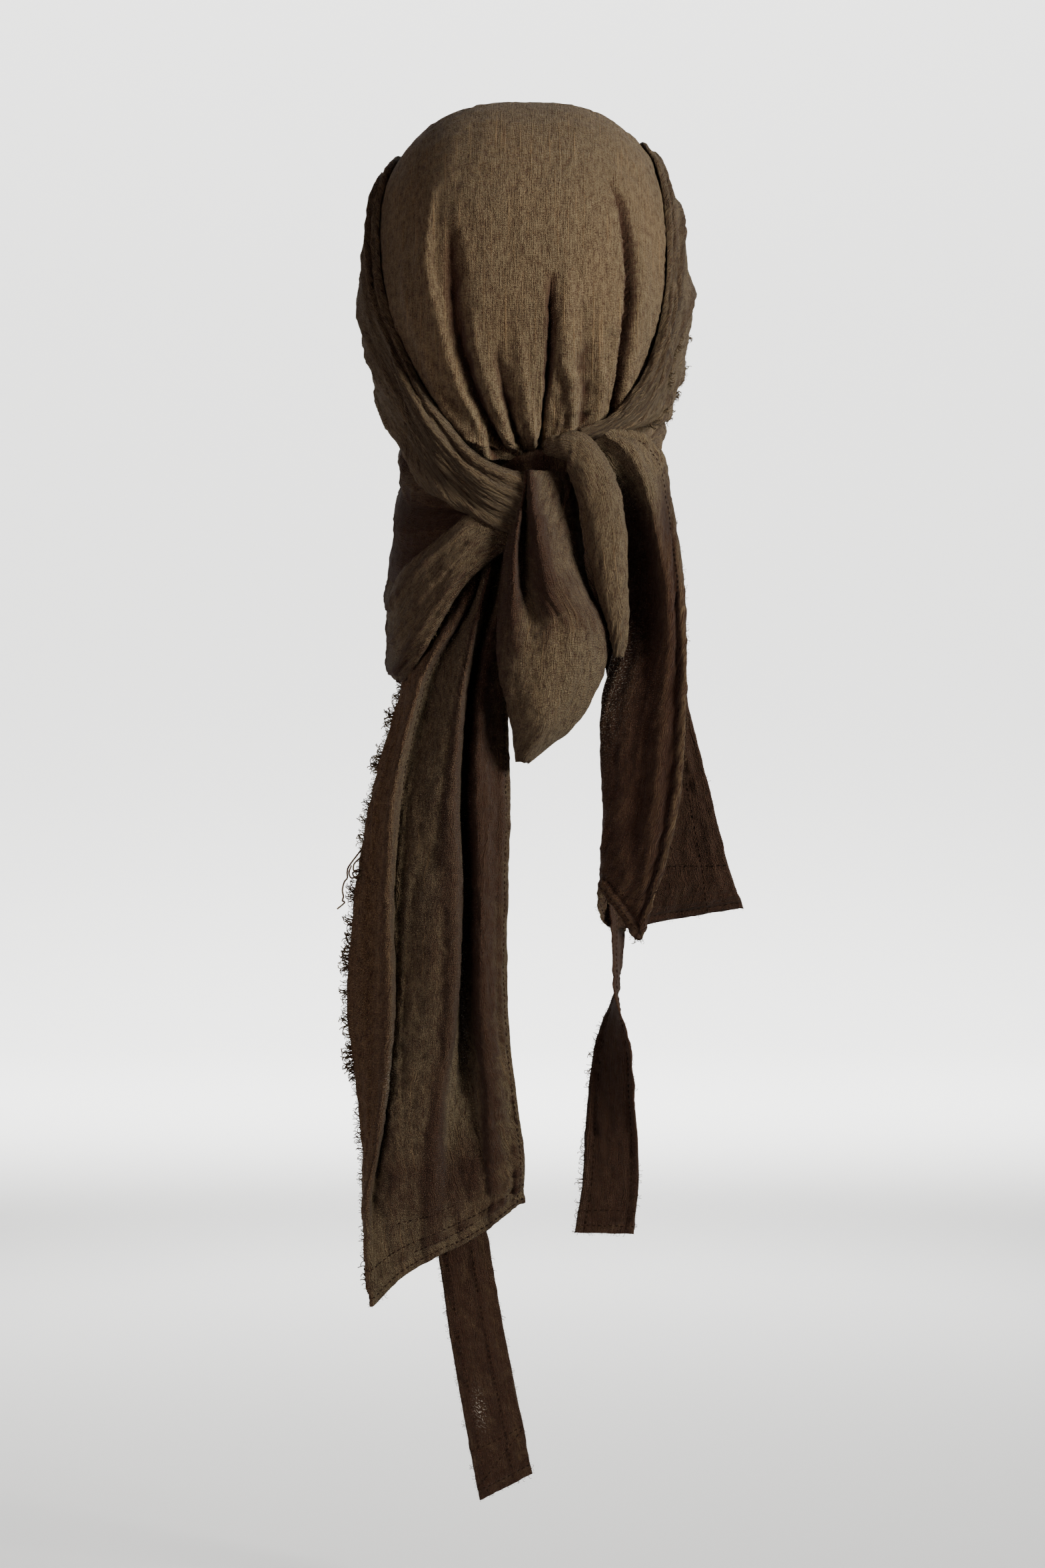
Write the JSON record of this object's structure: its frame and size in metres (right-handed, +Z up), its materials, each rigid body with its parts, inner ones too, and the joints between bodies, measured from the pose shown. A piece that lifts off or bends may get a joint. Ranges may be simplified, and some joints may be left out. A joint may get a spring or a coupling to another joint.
{
  "type": "durag head wrap",
  "caption": "Gauze head wrap drawn into pleats over the head and tied at the nape, with a looped knot, a long tail, a short tail and narrow ties hanging behind.",
  "frame": {"origin": "The inside of the cap's top, where it rests on the wearer's head.", "axes": "+Z is up. The wearer faces -Y, so the knot and the tails are on the +Y side. -X is the wearer's right and the right of the picture."},
  "size_m": [0.1929, 0.2018, 0.691],
  "materials": {
    "gauze": "matte crinkled open weave"
  },
  "bodies": {
    "root": {"crown": "gauze", "side_band_left": "gauze", "side_band_right": "gauze", "nape_flap": "gauze", "neck_drape_left": "gauze", "knot": "gauze", "pouch": "gauze", "knot_roll": "gauze", "tail_right": "gauze", "tail_left": "gauze", "tie_left": "gauze", "tie_right": "gauze"}
  },
  "joints": []
}
